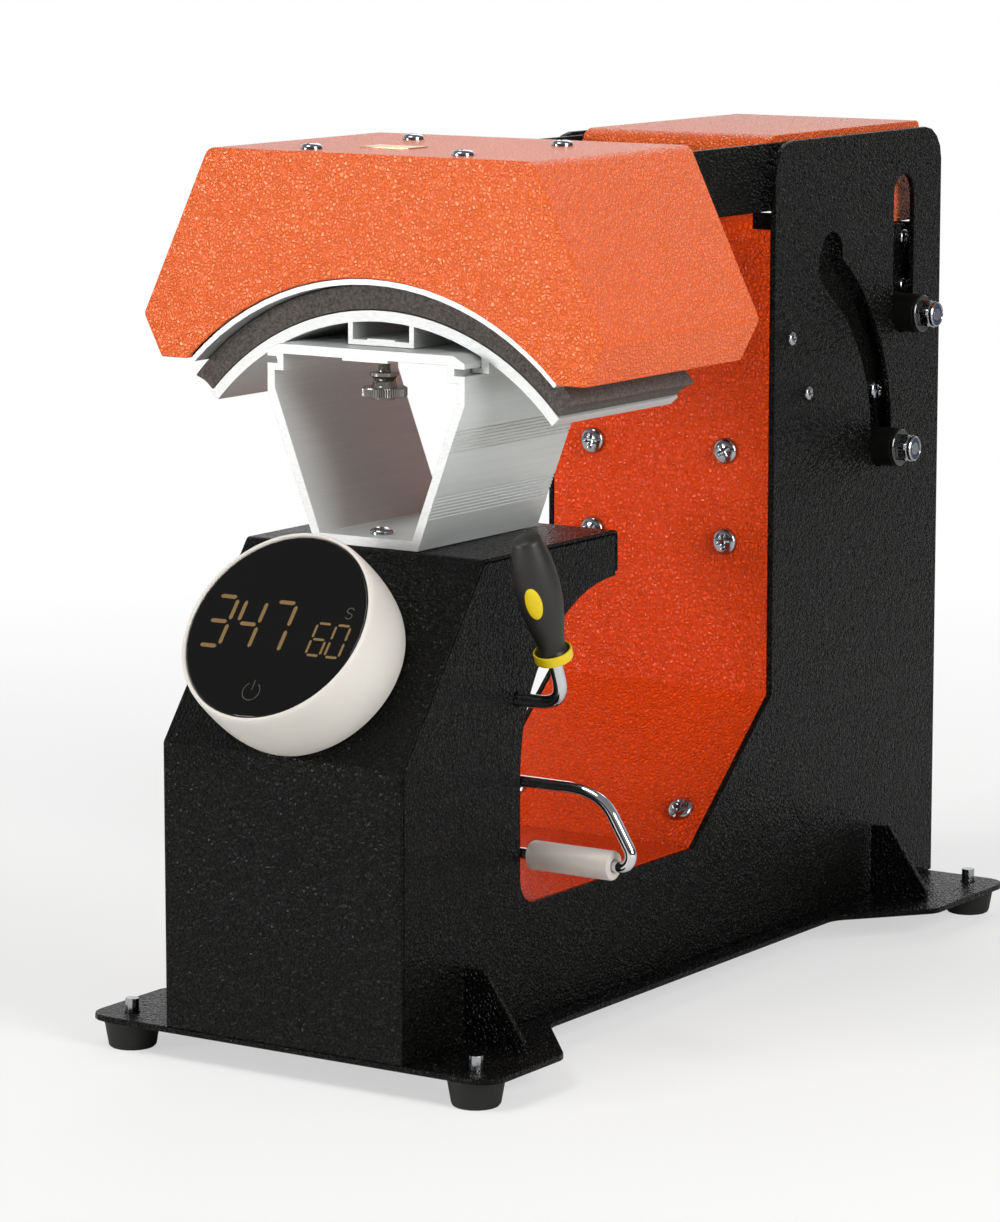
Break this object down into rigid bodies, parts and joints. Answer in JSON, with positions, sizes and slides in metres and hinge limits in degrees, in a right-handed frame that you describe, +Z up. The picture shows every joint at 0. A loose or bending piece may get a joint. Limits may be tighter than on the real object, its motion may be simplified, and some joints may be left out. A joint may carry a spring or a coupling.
{
  "type": "cap heat press",
  "caption": "Electric cap heat press: a curved heating head on a lifting, tilting arm closes on a curved padded platen held on a C-shaped steel frame.",
  "frame": {"origin": "centre of the footprint at the height of the surface the feet stand on", "axes": "+X to the press operator's right seen from the front, +Y from the control display to the rear cover, +Z up"},
  "size_m": [0.2218, 0.4626, 0.3623],
  "materials": {
    "black_powder": "fine-textured black powder coat",
    "orange_powder": "textured orange powder coat",
    "inner_orange": "deep orange-red powder coat",
    "aluminium": "extruded, satin",
    "chrome": "bright chromed wire and shaft",
    "zinc": "zinc plated",
    "rubber": "matt moulded rubber",
    "sponge": "silicone sponge, matt grey-brown",
    "white_plastic": "white moulded plastic",
    "nylon": "natural nylon",
    "black_plastic": "black moulded plastic",
    "grip_plastic": "smooth black plastic",
    "yellow_plastic": "yellow plastic",
    "dark_glass": "black tinted display window, opaque",
    "wool": "rigid mineral insulation",
    "heater": "silicone heater mat",
    "circuit": "green circuit board"
  },
  "bodies": {
    "frame": {"base_plate": "black_powder", "side_plate_left": "black_powder", "side_plate_right": "black_powder", "front_panel": "black_powder", "pedestal_rear_panel": "inner_orange", "throat_floor_panel": "inner_orange", "column_front_panel": "inner_orange", "column_brace": "black_powder", "rear_cover": "black_powder", "power_inlet": "black_plastic", "switch_frame": "black_plastic", "foot_front_left": "rubber", "foot_rear_left": "rubber", "foot_front_right": "rubber", "foot_rear_right": "rubber", "foot_bolt_front_left": "zinc", "foot_bolt_rear_left": "zinc", "foot_bolt_front_right": "zinc", "foot_bolt_rear_right": "zinc", "platen_post": "aluminium", "display_core": "white_plastic", "display_glass": "dark_glass", "control_board": "circuit", "actuator_body": "black_plastic"},
    "platen_slider": {"platen": "aluminium", "foam_pad": "sponge"},
    "thumb_screw": {"thumb_screw": "zinc"},
    "tension_lever": {"lever_shaft": "chrome", "handle_ferrule": "yellow_plastic", "handle_grip": "grip_plastic", "grip_inlay": "yellow_plastic", "shaft_clip": "zinc", "swing_bracket": "black_powder", "bail_left": "chrome", "bail_right": "chrome"},
    "roller_left": {"bail_roller_left": "nylon"},
    "roller_right": {"bail_roller_right": "nylon"},
    "control_ring": {"display_ring": "white_plastic"},
    "rocker": {"rocker_switch": "black_plastic"},
    "carriage": {"upper_bolt": "zinc", "upper_roller_left": "black_plastic", "upper_roller_right": "black_plastic", "upper_nut_left": "zinc", "upper_nut_right": "zinc", "actuator_rod": "chrome"},
    "head_arm": {"arm_cheek_left": "black_powder", "arm_cheek_right": "black_powder", "arm_web": "black_powder", "arm_cover": "orange_powder", "head_bracket": "black_powder", "head_housing": "orange_powder", "heating_plate": "aluminium", "heater_film": "heater", "insulation_block": "wool"},
    "guide_pins": {"lower_bolt": "zinc", "lower_roller_left": "black_plastic", "lower_roller_right": "black_plastic", "lower_nut_left": "zinc", "lower_nut_right": "zinc"}
  },
  "joints": [
    {"name": "head_tilt", "type": "hinge", "parent": "carriage", "child": "head_arm", "pos_m": [0, 0.19363, 0.2752], "axis": [-1, 0, 0], "range_deg": [0, 46.9]},
    {"name": "head_lift", "type": "slide", "parent": "frame", "child": "carriage", "axis": [0, 0, 1], "range_m": [0, 0.053]},
    {"name": "guide_pin_turn", "type": "hinge", "parent": "head_arm", "child": "guide_pins", "pos_m": [0, 0.16548, 0.22702], "axis": [1, 0, 0], "range_deg": [0, 317]},
    {"name": "platen_slide", "type": "slide", "parent": "frame", "child": "platen_slider", "axis": [0, -1, 0], "range_m": [0, 0.085]},
    {"name": "thumb_screw_turn", "type": "hinge", "parent": "frame", "child": "thumb_screw", "pos_m": [0, -0.13027, 0.276], "axis": [0, 0, 1], "continuous": true},
    {"name": "lever_swing", "type": "hinge", "parent": "frame", "child": "tension_lever", "pos_m": [0, -0.12117, 0.1468], "axis": [1, 0, 0], "range_deg": [0, 60]},
    {"name": "roller_left_spin", "type": "hinge", "parent": "tension_lever", "child": "roller_left", "pos_m": [-0.08, -0.11627, 0.0832], "axis": [1, 0, 0], "continuous": true},
    {"name": "roller_right_spin", "type": "hinge", "parent": "tension_lever", "child": "roller_right", "pos_m": [0.08, -0.11627, 0.0832], "axis": [1, 0, 0], "continuous": true},
    {"name": "control_ring_turn", "type": "hinge", "parent": "frame", "child": "control_ring", "pos_m": [0, -0.17843, 0.16262], "axis": [0, -0.7971, 0.6039], "continuous": true},
    {"name": "rocker_tip", "type": "hinge", "parent": "frame", "child": "rocker", "pos_m": [0, 0.22603, 0.092], "axis": [0, 0, 1], "range_deg": [0, 9]}
  ],
  "couplings": [
    {"joint": "head_lift", "follows": "head_tilt", "m_per_rad": 0.06474},
    {"joint": "guide_pin_turn", "follows": "head_tilt", "ratio": 6.759}
  ]
}
